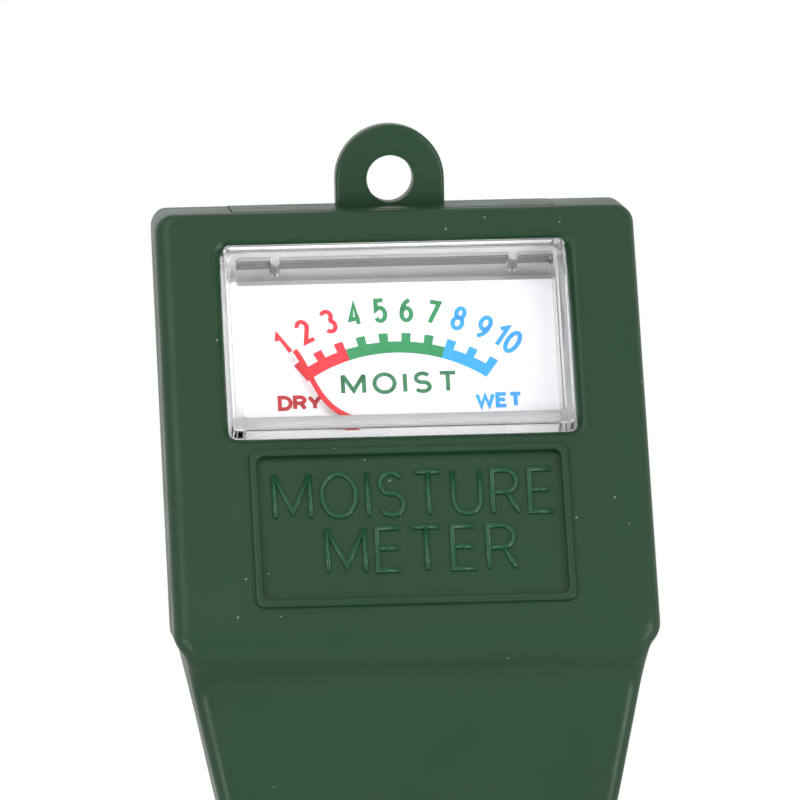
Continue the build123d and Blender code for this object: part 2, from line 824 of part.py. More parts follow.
def lead(points):
    """Round insulated wire along straight runs joined by the largest arcs that they allow."""
    points = [Vector(*p) for p in points]
    radii = []
    for before, at, after in zip(points, points[1:], points[2:]):
        turn = (at - before).get_angle(after - at)
        shorter = min((at - before).length, (after - at).length)
        radii.append(0.45 * shorter / tan(radians(turn) / 2))
    path = FilletPolyline(*points, radius=radii)
    section = Plane(origin=path @ 0, z_dir=path % 0) * Circle(lead_radius)
    tube = sweep(section, path=path)
    share = tube.volume / (pi * lead_radius**2 * path.length)
    print("lead radii", [round(r, 1) for r in radii], "volume share", round(share, 3))
    return tube


def lead_start(side):
    """Back end of a terminal, and a point straight behind it."""
    ends = [Vector(side * terminal_spacing / 2, terminal_rise, terminal_tip - d) for d in (0, 2.8)]
    return [tuple(unit.from_local_coords(e)) for e in ends]


def red_lead():
    """Lead from the right-hand terminal to the probe's centre rod."""
    route = [
        (13.2, 11.0, 51.6),
        (13.0, 8.0, 48.2),
        (12.1, 4.3, 44.0),
        (10.3, 2.2, 39.4),
        (7.9, 1.3, 34.8),
        (5.0, 0.7, 30.6),
        (2.1, 0.3, 27.2),
        (0, 0, 24.6),
    ]
    return lead(lead_start(1) + route + [(0, 0, rod_top)])


def black_lead():
    """Lead from the left-hand terminal to the tag on the probe's tube."""
    route = [
        (-13.8, 11.0, 51.6),
        (-13.7, 8.0, 48.2),
        (-13.3, 4.0, 43.6),
        (-12.5, 2.1, 38.6),
        (-11.3, 1.1, 33.4),
        (-9.8, 0.7, 28.2),
        (-7.6, 0.3, 22.6),
        (-5.8, 0, 17.8),
    ]
    return lead(lead_start(-1) + route + [(-tag_reach + 1.1, 0, tag_level + tag_thickness)])


tag_level = wall + bush_height + 1.0
tag_thickness = 0.6
tag_reach = 6.9


def tube_tag():
    """Tinned solder tag clamped on the tube's upper end."""
    tag = bar_z((tag_level, tag_level + tag_thickness), tube_spigot_radius + 1.0)
    middle = tag_level + tag_thickness / 2
    tag += Pos(-tag_reach / 2, 0, middle) * Box(tag_reach, 2.4, tag_thickness)
    tag -= bar_z((tag_level - 1, tag_level + 2), tube_spigot_radius + fit_gap)
    return tag


def probe_bush():
    """Plastic bush that holds the tube's end in the neck."""
    bush = bar_z((wall + 0.05, wall + bush_height), bush_radius)
    side = 2 * bush_radius
    square = Pos(0, 0, wall + bush_height - 1.0) * Box(side, side, 2.0)
    bush += square
    bush -= bar_z((0, wall + bush_height + 1), tube_spigot_radius + fit_gap)
    return bush


tube_foot = tip_height + insulator_height - probe_length
insulator_foot = tip_height - probe_length
rod_foot = insulator_foot - 4.5


def probe_tube():
    """Outer electrode, with a narrower upper end that is held in the neck."""
    tube = bar_z((tube_foot, 0), probe_radius, probe_radius - tube_wall)
    tube += bar_z((0, tube_spigot), tube_spigot_radius, probe_radius - tube_wall)
    return tube


def insulating_sleeve():
    """Plastic sleeve between the tube and the centre rod."""
    return bar_z((tube_foot, tube_spigot + 1.5), sleeve_radius, rod_radius + fit_gap)


def centre_rod():
    """Rod from the tip up into the neck."""
    return bar_z((rod_foot, rod_top), rod_radius)


def tip_insulator():
    """Plastic ring between the tube and the tip."""
    return bar_z((insulator_foot, tube_foot), probe_radius - 0.05, rod_radius + fit_gap)


def probe_tip():
    """Pointed second electrode."""
    tip = bar_z((tip_cone - probe_length, insulator_foot), probe_radius)
    tip += Pos(0, 0, tip_cone / 2 - probe_length) * Cone(tip_point, probe_radius, tip_cone)
    tip -= bar_z((rod_foot - 0.2, insulator_foot + 1), rod_radius + fit_gap)
    return tip


nodes = {
    "front_shell": front_shell,
    "rear_cover": rear_cover,
    "housing_screws": housing_screws,
    "window_cover": window_cover,
    "meter_case": meter_case,
    "case_screws": case_screws,
    "movement_screen": movement_screen,
    "dial_plate": dial_plate,
    "dial_screws": dial_screws,
    "needle": needle,
    "counterweight": counterweight,
    "coil_former": coil_former,
    "moving_coil": moving_coil,
    "pivot_staffs": pivot_staffs,
    "front_hairspring": lambda: hairspring(collet_front),
    "rear_hairspring": lambda: hairspring(collet_rear - spring_height),
    "front_bearing": front_bearing,
    "rear_bearing": rear_bearing,
    "front_bridge": front_bridge,
    "rear_bridge": rear_bridge,
    "bridge_screws": bridge_screws,
    "zero_arm": zero_arm,
    "movement_frame": movement_frame,
    "frame_screws": frame_screws,
    "return_ring": return_ring,
    "core_magnet": core_magnet,
    "terminals": terminals,
    "red_lead": red_lead,
    "black_lead": black_lead,
    "tube_tag": tube_tag,
    "probe_bush": probe_bush,
    "probe_tube": probe_tube,
    "insulating_sleeve": insulating_sleeve,
    "centre_rod": centre_rod,
    "tip_insulator": tip_insulator,
    "probe_tip": probe_tip,
}

for name, make in nodes.items():
    made = make()
    shape = Compound(children=list(made)) if isinstance(made, list) else made
    export_step(shape, f"parts/{name}.step")
print("pivot", unit.from_local_coords(Vector(0, pivot_rise, needle_level)))
print("normal", face.z_dir, "loop hole", brow[0] + loop_setback, head_top + tongue_proud + loop_hole_rise)
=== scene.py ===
import json
from math import cos, pi, radians, sin

import bmesh
import bpy
from mathutils import Matrix, Vector


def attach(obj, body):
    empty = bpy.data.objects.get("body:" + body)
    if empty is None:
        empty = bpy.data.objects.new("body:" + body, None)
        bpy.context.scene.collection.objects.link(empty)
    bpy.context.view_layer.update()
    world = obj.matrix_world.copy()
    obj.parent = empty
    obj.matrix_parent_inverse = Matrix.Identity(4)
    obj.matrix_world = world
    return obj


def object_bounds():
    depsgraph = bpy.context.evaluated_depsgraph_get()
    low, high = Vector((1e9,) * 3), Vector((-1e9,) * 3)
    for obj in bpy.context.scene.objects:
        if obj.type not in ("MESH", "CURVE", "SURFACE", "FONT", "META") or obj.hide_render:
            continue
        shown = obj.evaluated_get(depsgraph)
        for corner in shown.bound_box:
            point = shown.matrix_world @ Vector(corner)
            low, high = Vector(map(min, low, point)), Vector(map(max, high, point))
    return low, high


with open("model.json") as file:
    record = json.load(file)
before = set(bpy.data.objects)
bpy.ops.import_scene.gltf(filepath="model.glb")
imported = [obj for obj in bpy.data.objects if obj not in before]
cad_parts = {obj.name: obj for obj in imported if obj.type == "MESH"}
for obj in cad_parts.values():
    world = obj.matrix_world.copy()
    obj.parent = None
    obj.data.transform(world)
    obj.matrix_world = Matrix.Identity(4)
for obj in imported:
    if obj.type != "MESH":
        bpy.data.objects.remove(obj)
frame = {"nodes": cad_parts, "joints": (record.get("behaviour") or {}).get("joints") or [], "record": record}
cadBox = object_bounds()
nodes = frame["nodes"]
mm = 0.001
even = (1, 1, 1)  # a pattern that is stretched in no direction
print("frame loaded:", len(nodes), "nodes")

# The needle's joint gives the face's own directions, and the dial is measured from its pivot
needleJoint = next(joint for joint in frame["joints"] if joint["name"] == "needle_swing")
pivot = Vector(needleJoint["pos_m"])
outward = -Vector(needleJoint["axis"]).normalized()
across = Vector((1, 0, 0))
upFace = outward.cross(across)


def levels(name):
    # lowest and highest level of a node along the face's normal, counted from the pivot
    heights = [(v.co - pivot).dot(outward) for v in nodes[name].data.vertices]
    return min(heights), max(heights)


def onFace(right, up, height, turn=0.0):
    # placing matrix for something drawn flat: millimetres from the pivot, a level, and a turn
    place = Matrix((across, upFace, outward)).transposed().to_4x4()
    place.translation = pivot + across * right * mm + upFace * up * mm + outward * height
    return place @ Matrix.Rotation(radians(turn), 4, "Z")


class Value:
    # a socket that takes part in sums
    def __init__(self, paint, socket):
        self.paint = paint
        self.socket = socket

    def sum(self, operation, first, second):
        return self.paint.node("ShaderNodeMath", {"operation": operation}, {0: first, 1: second})

    def __add__(self, other):
        return self.sum("ADD", self, other)

    __radd__ = __add__

    def __mul__(self, other):
        return self.sum("MULTIPLY", self, other)

    __rmul__ = __mul__

    def __gt__(self, other):
        return self.sum("GREATER_THAN", self, other)

    def __lt__(self, other):
        return self.sum("LESS_THAN", self, other)


class Paint:
    # the shader of one material, or of the world, under construction
    def __init__(self, owner):
        self.owner = owner
        self.owner.use_nodes = True
        self.tree = owner.node_tree
        self.tree.nodes.clear()

    def node(self, kind, settings, sockets, output=0):
        made = self.tree.nodes.new(kind)
        for key, setting in settings.items():
            setattr(made, key, setting)
        for key, value in sockets.items():
            if isinstance(value, Value):
                self.tree.links.new(value.socket, made.inputs[key])
            else:
                made.inputs[key].default_value = value
        return Value(self, made.outputs[output])

    def scaled(self, stretch):
        # position in millimetres, stretched along each direction
        place = self.node("ShaderNodeTexCoord", {}, {}, "Object")
        return self.node(
            "ShaderNodeVectorMath", {"operation": "MULTIPLY"}, {0: place, 1: [s / mm for s in stretch]}
        )

    def noise(self, perMm, octaves, stretch=even):
        return self.node(
            "ShaderNodeTexNoise", {}, {"Vector": self.scaled(stretch), "Scale": perMm, "Detail": octaves}
        )

    def scatter(self, perMm, stretch=even):
        # distance to the nearest of many scattered points
        return self.node(
            "ShaderNodeTexVoronoi", {}, {"Vector": self.scaled(stretch), "Scale": perMm}, "Distance"
        )

    def between(self, value, low, high, fromLow=0.35, fromHigh=0.65):
        # stretches a noise's middle range over low to high
        return self.node(
            "ShaderNodeMapRange",
            {},
            {"Value": value, "From Min": fromLow, "From Max": fromHigh, "To Min": low, "To Max": high},
        )

    def blend(self, factor, first, second):
        # sockets 6 and 7 of a Mix node are its two colours, and its output 2 is the mixed one
        return self.node("ShaderNodeMix", {"data_type": "RGBA"}, {0: factor, 6: first, 7: second}, 2)

    def bump(self, height, depthMm=1.0):
        return self.node("ShaderNodeBump", {}, {"Height": height, "Distance": depthMm * mm}, "Normal")

    def surface(self, **sockets):
        named = {key.replace("_", " "): value for key, value in sockets.items()}
        return self.node("ShaderNodeBsdfPrincipled", {}, named)

    def done(self, shader, kind="ShaderNodeOutputMaterial"):
        out = self.tree.nodes.new(kind)
        self.tree.links.new(shader.socket, out.inputs["Surface"])
        return self.owner


def rgb(red, green, blue):
    return (red, green, blue, 1.0)


def newPaint(name):
    return Paint(bpy.data.materials.new(name))


detail = {"soft": 1.0, "grain": 2.0, "cloudy": 3.0, "streaky": 4.0}  # octaves of a noise

greenPlastic = {
    "deep": rgb(0.0058, 0.0360, 0.0112),
    "light": rgb(0.0076, 0.0420, 0.0142),
    "cloudsPerMm": 0.05,
    "dust": rgb(0.30, 0.36, 0.31),
    "specksPerMm": 0.45,
    "speckSize": 0.055,
    "speckCover": 0.5,
    "speckPatchesPerMm": 0.11,
    "speckFree": 0.56,  # more leaves fewer patches with specks
    "scuffsPerMm": 0.30,
    "scuffStretch": (1.0, 1.0, 0.16),
    "scuffSize": 0.028,
    "scuffCover": 0.35,
    "scuffPatchesPerMm": 0.07,
    "scuffFree": 0.58,
    "scuffRough": 0.2,
    "scuffMm": -0.01,
    "roughLow": 0.31,
    "roughHigh": 0.42,
    "handledPerMm": 0.16,
    "gloss": 0.36,
    "grainPerMm": 5.5,
    "grainMm": 0.012,
    "ripplePerMm": 0.35,
    "rippleMm": 0.02,
}


def paintGreenPlastic(name, own):
    # satin moulded plastic with a little dust and a few fine scuffs
    paint = newPaint(name)
    clouds = paint.between(paint.noise(own["cloudsPerMm"], detail["cloudy"]), 0.0, 1.0)
    colour = paint.blend(clouds, own["deep"], own["light"])
    speckPatches = paint.noise(own["speckPatchesPerMm"], detail["soft"]) > own["speckFree"]
    specks = (paint.scatter(own["specksPerMm"]) < own["speckSize"]) * speckPatches
    scuffPatches = paint.noise(own["scuffPatchesPerMm"], detail["soft"]) > own["scuffFree"]
    scuffs = (paint.scatter(own["scuffsPerMm"], own["scuffStretch"]) < own["scuffSize"]) * scuffPatches
    colour = paint.blend(specks * own["speckCover"], colour, own["dust"])
    colour = paint.blend(scuffs * own["scuffCover"], colour, own["dust"])
    touched = paint.noise(own["handledPerMm"], detail["streaky"])
    handled = paint.between(touched, own["roughLow"], own["roughHigh"])
    grain = paint.noise(own["grainPerMm"], detail["grain"])
    ripple = paint.noise(own["ripplePerMm"], detail["soft"])
    height = grain * own["grainMm"] + ripple * own["rippleMm"] + scuffs * own["scuffMm"]
    return paint.done(
        paint.surface(
            Base_Color=colour,
            Roughness=handled + scuffs * own["scuffRough"],
            Normal=paint.bump(height),
            Specular_IOR_Level=own["gloss"],
        )
    )


clearPlastic = {
    "tint": rgb(0.985, 0.988, 0.99),
    "ior": 1.49,
    "rough": 0.02,
    "hazeRough": 0.05,
    "hazePerMm": 0.4,
    "wavesPerMm": 0.25,
    "wavesMm": 0.002,
}


def paintClearPlastic():
    # polished clear plastic that casts only a faint shadow
    own = clearPlastic
    paint = newPaint("clearPlastic")
    haze = paint.between(paint.noise(own["hazePerMm"], detail["cloudy"]), own["rough"], own["hazeRough"])
    relief = paint.bump(paint.noise(own["wavesPerMm"], detail["soft"]), own["wavesMm"])
    glass = paint.surface(
        Base_Color=own["tint"], Roughness=haze, IOR=own["ior"], Transmission_Weight=1.0, Normal=relief
    )
    shadowRays = paint.node("ShaderNodeLightPath", {}, {}, "Is Shadow Ray")
    clear = paint.node("ShaderNodeBsdfTransparent", {}, {"Color": own["tint"]})
    return paint.done(paint.node("ShaderNodeMixShader", {}, {0: shadowRays, 1: glass, 2: clear}))


moulded = {"cloudsPerMm": 0.12, "handledPerMm": 0.5, "smoother": 0.06, "rougher": 0.08, "grainPerMm": 5.0,
           "grainMm": 0.008}


def paintMoulded(name, colour, shade, rough):
    # plain moulded plastic: slight cloudiness, fine satin grain
    own = moulded
    paint = newPaint(name)
    clouds = paint.between(paint.noise(own["cloudsPerMm"], detail["cloudy"]), 0.0, 1.0)
    handled = paint.noise(own["handledPerMm"], detail["cloudy"])
    return paint.done(
        paint.surface(
            Base_Color=paint.blend(clouds, colour, shade),
            Roughness=paint.between(handled, rough - own["smoother"], rough + own["rougher"]),
            Normal=paint.bump(paint.noise(own["grainPerMm"], detail["grain"]), own["grainMm"]),
        )
    )


printed = {"mottlePerMm": 3.0, "smoother": 0.05, "rougher": 0.08, "gloss": 0.2, "grainPerMm": 9.0,
           "grainMm": 0.004}


def paintPrint(name, colour, shade, rough=0.5):
    # screen-printed ink, faintly mottled in colour and in gloss
    own = printed
    paint = newPaint(name)
    mottle = paint.between(paint.noise(own["mottlePerMm"], detail["cloudy"]), 0.0, 1.0)
    return paint.done(
        paint.surface(
            Base_Color=paint.blend(mottle, colour, shade),
            Roughness=paint.between(mottle, rough - own["smoother"], rough + own["rougher"], 0.0, 1.0),
            Specular_IOR_Level=own["gloss"],
            Normal=paint.bump(paint.noise(own["grainPerMm"], detail["grain"]), own["grainMm"]),
        )
    )


metal = {"smoother": 0.07, "rougher": 0.1, "spotsPerMm": 0.3, "spotRough": 0.12}


def paintMetal(name, colour, shade, rough, stretch, perMm=3.0, depthMm=0.004):
    # metal with tool marks drawn out along the directions where stretch is small
    own = metal
    paint = newPaint(name)
    lines = paint.noise(perMm, detail["streaky"], stretch)
    tone = paint.between(lines, 0.0, 1.0)
    spots = paint.between(paint.noise(own["spotsPerMm"], detail["streaky"]), 0.0, own["spotRough"])
    return paint.done(
        paint.surface(
            Base_Color=paint.blend(tone, colour, shade),
            Roughness=paint.between(lines, rough - own["smoother"], rough + own["rougher"]) + spots,
            Metallic=1.0,
            Normal=paint.bump(lines, depthMm),
        )
    )


winding = {
    # between: painted shade, a darker colour put in the grooves between the turns; crown: the wire's own
    # copper colour
    "between": rgb(0.16, 0.035, 0.012),
    "crown": rgb(0.50, 0.17, 0.06),
    "turnsPerMm": 2.2,
    "unevenness": 0.3,
    "roughLow": 0.28,
    "roughHigh": 0.42,
    "varnish": 0.6,
    "metallic": 0.9,
    "turnMm": 0.03,
}


def paintWinding():
    # enamelled copper wire in close turns round the coil, with painted shade: the grooves between the turns
    # are coloured darker
    own = winding
    paint = newPaint("copperWire")
    turns = paint.node(
        "ShaderNodeTexWave",
        {"bands_direction": "X", "wave_profile": "SIN"},
        {"Vector": paint.scaled(even), "Scale": own["turnsPerMm"], "Distortion": own["unevenness"]},
        "Fac",
    )
    return paint.done(
        paint.surface(
            # painted shade: the colour darkens towards the grooves between the turns
            Base_Color=paint.blend(turns, own["between"], own["crown"]),
            Roughness=paint.between(turns, own["roughLow"], own["roughHigh"], 0.0, 1.0),
            Metallic=own["metallic"],
            Coat_Weight=own["varnish"],
            Normal=paint.bump(turns, own["turnMm"]),
        )
    )


paints = {
    "green_plastic": paintGreenPlastic("greenPlastic", greenPlastic),
    "clear_plastic": paintClearPlastic(),
    "white_plastic": paintMoulded("whitePlastic", rgb(0.74, 0.74, 0.74), rgb(0.66, 0.66, 0.67), 0.42),
    "dial_paint": paintPrint("dialPaint", rgb(0.88, 0.88, 0.90), rgb(0.83, 0.83, 0.86), 0.55),
    "red_paint": paintPrint("redPaint", rgb(0.72, 0.012, 0.022), rgb(0.60, 0.008, 0.016), 0.3),
    "brass": paintMetal("turnedBrass", rgb(0.78, 0.56, 0.22), rgb(0.66, 0.45, 0.17), 0.28, (1, 6, 1)),
    "aluminium": paintMetal(
        "sheetAluminium", rgb(0.80, 0.81, 0.82), rgb(0.68, 0.69, 0.70), 0.35, (0.2, 3, 3)
    ),
    "copper_wire": paintWinding(),
    "steel": paintMetal("platedSteel", rgb(0.62, 0.63, 0.64), rgb(0.46, 0.47, 0.49), 0.3, even),
    "soft_iron": paintMetal("softIron", rgb(0.42, 0.42, 0.43), rgb(0.30, 0.30, 0.31), 0.38, (1, 5, 5)),
    "magnet_alloy": paintMetal(
        "groundMagnet", rgb(0.30, 0.30, 0.31), rgb(0.20, 0.20, 0.21), 0.32, (4, 0.5, 4)
    ),
    "zinc_casting": paintMetal(
        "zincCasting", rgb(0.50, 0.51, 0.53), rgb(0.36, 0.37, 0.39), 0.5, even, 1.2, 0.02
    ),
    "spring_bronze": paintMetal("springBronze", rgb(0.70, 0.42, 0.18), rgb(0.56, 0.32, 0.13), 0.26, even),
    "black_plastic": paintMoulded("blackPlastic", rgb(0.016, 0.016, 0.017), rgb(0.024, 0.024, 0.025), 0.4),
    "red_wire": paintMoulded("redWire", rgb(0.50, 0.016, 0.014), rgb(0.42, 0.012, 0.012), 0.45),
    "black_wire": paintMoulded("blackWire", rgb(0.013, 0.013, 0.014), rgb(0.02, 0.02, 0.021), 0.45),
    "tube_metal": paintMetal("drawnTube", rgb(0.66, 0.67, 0.68), rgb(0.52, 0.53, 0.54), 0.3, (4, 4, 0.06)),
    "tip_metal": paintMetal("turnedCopper", rgb(0.72, 0.38, 0.20), rgb(0.58, 0.29, 0.15), 0.3, (0.6, 0.6, 6)),
}
for part in frame["record"]["subparts"]:
    slots = nodes[part["node"]].data.materials
    slots.clear()
    slots.append(paints[part["material_slot"]])
print("materials given to the frame's nodes")


# Lettering is drawn as strokes: each letter is a width and a few lines or arcs in a box one unit high
lettering = {
    "arcStep": 12,  # degrees
    "arcLeast": 4,  # steps in the shortest arc
    "closedMm": 1e-4,  # a stroke whose ends are nearer than this is closed
    "mitreLimit": 0.45,
    "roundSteps": 8,
    "roundness": 0.7,  # smaller for a flatter top
}


def arc(x, y, wide, tall, begin, end):
    steps = max(lettering["arcLeast"], round(abs(end - begin) / lettering["arcStep"]))
    angles = [radians(begin + (end - begin) * step / steps) for step in range(steps + 1)]
    return [(x + wide * cos(angle), y + tall * sin(angle)) for angle in angles]


letters = {
    "M": (0.84, [[(0, 0), (0, 1)], [(0, 1), (0.42, 0.12), (0.84, 1)], [(0.84, 1), (0.84, 0)]]),
    "O": (0.80, [arc(0.40, 0.5, 0.40, 0.5, 0, 360)]),
    "I": (0.0, [[(0, 0), (0, 1)]]),
    "S": (0.56, [arc(0.28, 0.75, 0.26, 0.25, 30, 250) + arc(0.28, 0.26, 0.28, 0.26, 68, -150)]),
    "T": (0.62, [[(0, 1), (0.62, 1)], [(0.31, 1), (0.31, 0)]]),
    "U": (0.64, [[(0, 1), (0, 0.32)] + arc(0.32, 0.32, 0.32, 0.32, 190, 350) + [(0.64, 0.32), (0.64, 1)]]),
    "R": (0.60, [
        [(0, 0), (0, 1), (0.30, 1)] + arc(0.32, 0.74, 0.26, 0.26, 80, -80) + [(0.30, 0.48), (0, 0.48)],
        [(0.34, 0.48), (0.60, 0)],
    ]),
    "E": (0.52, [[(0.52, 1), (0, 1), (0, 0), (0.52, 0)], [(0, 0.52), (0.46, 0.52)]]),
    "D": (0.66, [[(0, 0), (0, 1), (0.24, 1)] + arc(0.26, 0.5, 0.40, 0.5, 80, -80) + [(0.24, 0), (0, 0)]]),
    "Y": (0.66, [[(0, 1), (0.33, 0.44), (0.66, 1)], [(0.33, 0.44), (0.33, 0)]]),
    "W": (0.96, [[(0, 1), (0.24, 0), (0.48, 0.9), (0.72, 0), (0.96, 1)]]),
    "0": (0.50, [arc(0.25, 0.5, 0.25, 0.5, 0, 360)]),
    "1": (0.28, [[(0, 0.76), (0.26, 1), (0.26, 0)]]),
    "2": (0.50, [arc(0.25, 0.74, 0.25, 0.26, 165, -30) + [(0, 0), (0.50, 0)]]),
    "3": (0.50, [arc(0.24, 0.76, 0.24, 0.24, 150, -80), arc(0.24, 0.26, 0.26, 0.26, 85, -150)]),
    "4": (0.54, [[(0.40, 0), (0.40, 1), (0, 0.28), (0.54, 0.28)]]),
    "5": (0.50, [[(0.46, 1), (0.08, 1), (0.05, 0.56)] + arc(0.24, 0.32, 0.26, 0.32, 120, -150)]),
    "6": (0.50, [arc(0.25, 0.30, 0.25, 0.30, 0, 360), arc(0.48, 0.34, 0.48, 0.66, 175, 100)]),
    "7": (0.48, [[(0, 1), (0.48, 1), (0.16, 0)]]),
    "8": (0.50, [arc(0.25, 0.76, 0.21, 0.24, 0, 360), arc(0.25, 0.27, 0.25, 0.27, 0, 360)]),
    "9": (0.50, [arc(0.25, 0.70, 0.25, 0.30, 0, 360), arc(0.02, 0.66, 0.48, 0.66, -5, -80)]),
}
flatStroke = ((-0.5, 0.0), (-0.5, 1.0), (0.5, 1.0), (0.5, 0.0))  # width share, height share
roundAngles = [pi * step / lettering["roundSteps"] for step in range(lettering["roundSteps"] + 1)]
roundStroke = [(-0.5 * cos(angle), sin(angle) ** lettering["roundness"]) for angle in roundAngles]


def joinRings(work, first, second):
    # the faces between two rings of points
    count = len(first)
    for k in range(count):
        n = (k + 1) % count
        work.faces.new((first[k], first[n], second[n], second[k]))


def sweepStroke(work, points, width, height, section, place):
    # draws one stroke with a mitred section, in millimetres, into a mesh under work
    closed = (Vector(points[0]) - Vector(points[-1])).length < lettering["closedMm"]
    if closed:
        points = points[:-1]
    count = len(points)
    rings = []
    for index, point in enumerate(points):
        before = Vector(points[index - 1]) if closed or index else None
        after = Vector(points[(index + 1) % count]) if closed or index < count - 1 else None
        here = Vector(point)
        arriving = (here - before).normalized() if before is not None else (after - here).normalized()
        leaving = (after - here).normalized() if after is not None else arriving
        side = Vector((-(arriving + leaving).y, (arriving + leaving).x)).normalized()
        mitre = 1 / max(lettering["mitreLimit"], side.dot(Vector((-arriving.y, arriving.x))))
        ring = []
        for share, rise in section:
            at = here - side * share * width * mitre
            ring.append(work.verts.new(place @ Vector((at.x * mm, at.y * mm, rise * height * mm))))
        rings.append(ring)
    last = count if closed else count - 1
    for index in range(last):
        joinRings(work, rings[index], rings[(index + 1) % count])
    if not closed:
        work.faces.new(rings[0][::-1])
        work.faces.new(rings[-1])


def spell(work, words, height, width, stroke, raised, section, place, gap):
    # letters side by side, centred, fitted to a height and a width measured over the strokes
    natural = sum(letters[letter][0] for letter in words) + gap * (len(words) - 1)
    wide = (width - stroke) / natural
    tall = height - stroke
    x = -(width - stroke) / 2
    for letter in words:
        ownWidth, strokes = letters[letter]
        for line in strokes:
            points = [(x + a * wide, (b - 0.5) * tall) for a, b in line]
            sweepStroke(work, points, stroke, raised, section, place)
        x += (ownWidth + gap) * wide


weldDistance = 1e-8


def addPiece(name, work, material):
    # makes a piece from a mesh under work, riding on the housing
    bmesh.ops.remove_doubles(work, verts=work.verts, dist=weldDistance)
    bmesh.ops.recalc_face_normals(work, faces=work.faces)
    whole = bpy.data.meshes.new(name)
    work.to_mesh(whole)
    work.free()
    whole.materials.append(material)
    piece = bpy.data.objects.new(name, whole)
    bpy.context.scene.collection.objects.link(piece)
    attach(piece, "housing")
    return piece


dialPrint = {
    "teeth": 10,
    "step": 7.66,  # degrees from one tooth to the next
    "drop": 0.35,  # from the pivot down to the middle of the printed arcs
    "bandInner": 15.35,
    "bandOuter": 16.6,
    "toothOuter": 17.55,
    "toothWidth": 0.95,
    "zones": (("redZone", 0, 2), ("greenZone", 3, 6), ("blueZone", 7, 9)),
    "numeralRadius": 20.1,
    "numeralHeight": 2.75,
    "numeralStroke": 0.46,
    "numeralWidth": 1.42,
    "otherWidths": {"1": 0.95, "10": 2.75},
    "numeralGap": 0.3,
    "ink": 0.02,
    "bandSteps": 24,
    "toothSteps": 2,
}
inks = {
    "redZone": paintPrint("redInk", rgb(0.80, 0.018, 0.035), rgb(0.70, 0.014, 0.028)),
    "greenZone": paintPrint("greenInk", rgb(0.016, 0.26, 0.085), rgb(0.012, 0.22, 0.07)),
    "blueZone": paintPrint("blueInk", rgb(0.022, 0.35, 0.86), rgb(0.017, 0.31, 0.79)),
}
dryInk = paintPrint("darkRedInk", rgb(0.46, 0.006, 0.014), rgb(0.38, 0.005, 0.011))
moistInk = paintPrint("darkGreenInk", rgb(0.008, 0.11, 0.035), rgb(0.03, 0.22, 0.09))
dialFront = levels("dial_plate")[1]


def around(radius, angle):
    # a point on the dial, the angle counted clockwise from straight up
    return Vector((radius * sin(radians(angle)), radius * cos(radians(angle)) - dialPrint["drop"]))


def addSector(work, inner, outer, begin, end, steps, thickness, place):
    # a solid piece of ring between two angles
    rings = []
    for step in range(steps + 1):
        angle = begin + (end - begin) * step / steps
        low, high = around(inner, angle) * mm, around(outer, angle) * mm
        corners = [(low, 0), (high, 0), (high, thickness * mm), (low, thickness * mm)]
        rings.append([work.verts.new(place @ Vector((at.x, at.y, rise))) for at, rise in corners])
    for first, second in zip(rings, rings[1:]):
        joinRings(work, first, second)
    work.faces.new(rings[0])
    work.faces.new(rings[-1][::-1])


def addDialPrint():
    own = dialPrint
    top = onFace(0, 0, dialFront)
    middle = (own["teeth"] - 1) / 2
    half = own["toothWidth"] / 2 / own["toothOuter"] * 180 / pi
    for zone, first, last in own["zones"]:
        work = bmesh.new()
        # the middle band fills the space up to its neighbours' teeth
        reach = half if zone != "greenZone" else own["step"] - half
        low = (first - middle) * own["step"] - reach
        high = (last - middle) * own["step"] + reach
        addSector(work, own["bandInner"], own["bandOuter"], low, high, own["bandSteps"], own["ink"], top)
        for tooth in range(first, last + 1):
            angle = (tooth - middle) * own["step"]
            inner, outer = own["bandOuter"], own["toothOuter"]
            addSector(work, inner, outer, angle - half, angle + half, own["toothSteps"], own["ink"], top)
            numeral = str(tooth + 1)
            wide = own["otherWidths"].get(numeral, own["numeralWidth"])
            at = around(own["numeralRadius"], angle)
            place = onFace(at.x, at.y, dialFront, -angle)
            height, stroke = own["numeralHeight"], own["numeralStroke"]
            spell(work, numeral, height, wide, stroke, own["ink"], flatStroke, place, own["numeralGap"])
        addPiece(zone, work, inks[zone])


zoneWords = {
    # name: (words, place, height, width, stroke, ink, gap)
    "dryWord": ("DRY", (-9.9, 9.7), 1.7, 4.5, 0.42, dryInk, 0.26),
    "moistWord": ("MOIST", (0.2, 11.65), 2.4, 11.8, 0.42, moistInk, 0.42),
    "wetWord": ("WET", (10.15, 9.5), 1.7, 4.8, 0.42, inks["blueZone"], 0.26),
}


def addZoneWords():
    for name, (words, at, height, width, stroke, ink, gap) in zoneWords.items():
        work = bmesh.new()
        place = onFace(at[0], at[1], dialFront)
        spell(work, words, height, width, stroke, dialPrint["ink"], flatStroke, place, gap)
        addPiece(name, work, ink)


addDialPrint()
addZoneWords()
print("dial printed")


panelWords = {
    "lines": (("MOISTURE", (0.55, -2.75), 28.2), ("METER", (1.05, -8.75), 19.2)),
    "capHeight": 5.1,
    "stroke": 0.5,
    "raised": 0.30,
    "floor": 0.65,  # from the top of the raised frame down to the panel's floor
    "rooted": 0.01,  # how far the letters reach into the panel's floor
    "gap": 0.28,
}
# painted highlight: the raised letters get a lighter, greener colour than the housing plastic they are
# moulded in, as if lit; they are also glossier
raisedGreenPaintedHighlight = greenPlastic | {
    "deep": rgb(0.0062, 0.060, 0.021),
    "light": rgb(0.0080, 0.070, 0.027),
    "roughLow": 0.24,
    "roughHigh": 0.34,
}


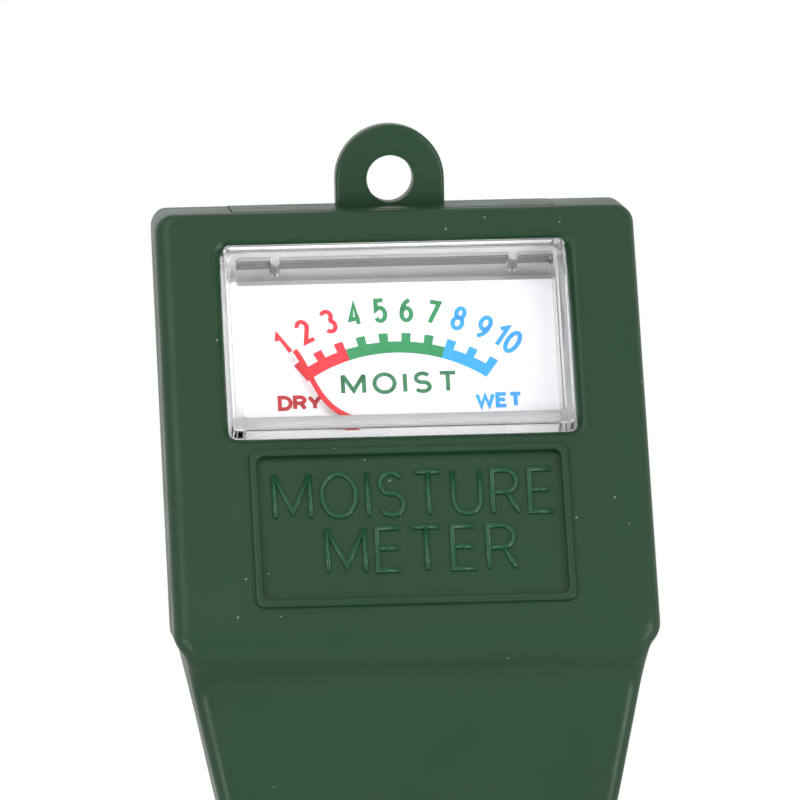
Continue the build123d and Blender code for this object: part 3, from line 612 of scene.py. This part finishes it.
def addPanelWords():
    own = panelWords
    floor = levels("front_shell")[1] - (own["floor"] + own["rooted"]) * mm
    work = bmesh.new()
    for words, at, width in own["lines"]:
        place = onFace(at[0], at[1], floor)
        height, stroke = own["capHeight"], own["stroke"]
        spell(work, words, height, width, stroke, own["raised"], roundStroke, place, own["gap"])
    piece = addPiece("panelWords", work, paintGreenPlastic("raisedGreenPaintedHighlight", raisedGreenPaintedHighlight))
    for face in piece.data.polygons:
        face.use_smooth = True


addPanelWords()
print("panel lettered")


room = {
    "floorDrop": 0.0015,
    "floorSize": 1.1,
    "floorPale": rgb(0.80, 0.80, 0.80),
    "floorShade": rgb(0.78, 0.78, 0.78),
    "floorRough": 0.6,
    "world": 0.78,  # how strongly the world lights the meter
    "backdrop": 1.0,  # and how bright the camera sees it
}


def addFloor():
    size = room["floorSize"]
    drop = cadBox[0][2] - room["floorDrop"]
    corners = [(-size, -size, drop), (size, -size, drop), (size, size, drop), (-size, size, drop)]
    mesh = bpy.data.meshes.new("floor")
    mesh.from_pydata(corners, [], [(0, 1, 2, 3)])
    mesh.materials.append(
        paintMoulded("paleFloor", room["floorPale"], room["floorShade"], room["floorRough"])
    )
    floor = bpy.data.objects.new("floor", mesh)
    bpy.context.scene.collection.objects.link(floor)


lamps = {
    # name: (where, size, power)
    "skyBox": ((-0.55, -0.55, 1.2), 0.9, 4.2),
    "keyBox": ((0.85, -0.95, 0.55), 0.5, 4.5),
    "fillBox": ((-1.0, -0.7, 0.1), 0.7, 1.8),
    "leftCornerBox": ((-0.75, -0.85, -0.08), 0.22, 2.6),
    "rightCornerBox": ((0.85, -0.75, -0.08), 0.22, 3.4),
}
lampAim = Vector((0, 0, 0.05))


def addLamps():
    for name, (where, size, power) in lamps.items():
        lamp = bpy.data.lights.new(name, "AREA")
        lamp.shape = "SQUARE"
        lamp.size = size
        lamp.energy = power
        holder = bpy.data.objects.new(name, lamp)
        holder.location = where
        holder.rotation_euler = (lampAim - Vector(where)).to_track_quat("-Z", "Y").to_euler()
        bpy.context.scene.collection.objects.link(holder)


def addWorld():
    world = bpy.data.worlds.new("studio")
    studio = Paint(world)
    cameraRays = studio.node("ShaderNodeLightPath", {}, {}, "Is Camera Ray")
    strength = room["world"] + cameraRays * (room["backdrop"] - room["world"])
    studio.done(
        studio.node("ShaderNodeBackground", {}, {"Color": rgb(1, 1, 1), "Strength": strength}),
        "ShaderNodeOutputWorld",
    )
    bpy.context.scene.world = world
    bpy.context.scene.view_settings.view_transform = "Standard"


view = {
    "azimuth": -4.15,
    "elevation": 5.6,
    "roll": -1.03,
    "away": 1.0828,
    "lens": 487.0,
    "sensor": 36.0,
    "clipStart": 0.01,
    "target": (-0.000488, 0.005, 0.0722),
}


def addCamera():
    az, el, roll = (radians(view[k]) for k in ("azimuth", "elevation", "roll"))
    back = Vector((sin(az) * cos(el), -cos(az) * cos(el), sin(el)))
    right = Vector((cos(az), sin(az), 0))
    up = back.cross(right)
    turnedRight = right * cos(roll) + up * sin(roll)
    turnedUp = up * cos(roll) - right * sin(roll)
    lens = bpy.data.cameras.new("camera")
    lens.lens = view["lens"]
    lens.sensor_width = view["sensor"]
    lens.clip_start = view["clipStart"]
    camera = bpy.data.objects.new("camera", lens)
    place = Matrix((turnedRight, turnedUp, back)).transposed().to_4x4()
    place.translation = Vector(view["target"]) + back * view["away"]
    camera.matrix_world = place
    bpy.context.scene.collection.objects.link(camera)
    bpy.context.scene.camera = camera


addFloor()
addLamps()
addWorld()
addCamera()
print("room, lamps and camera set")
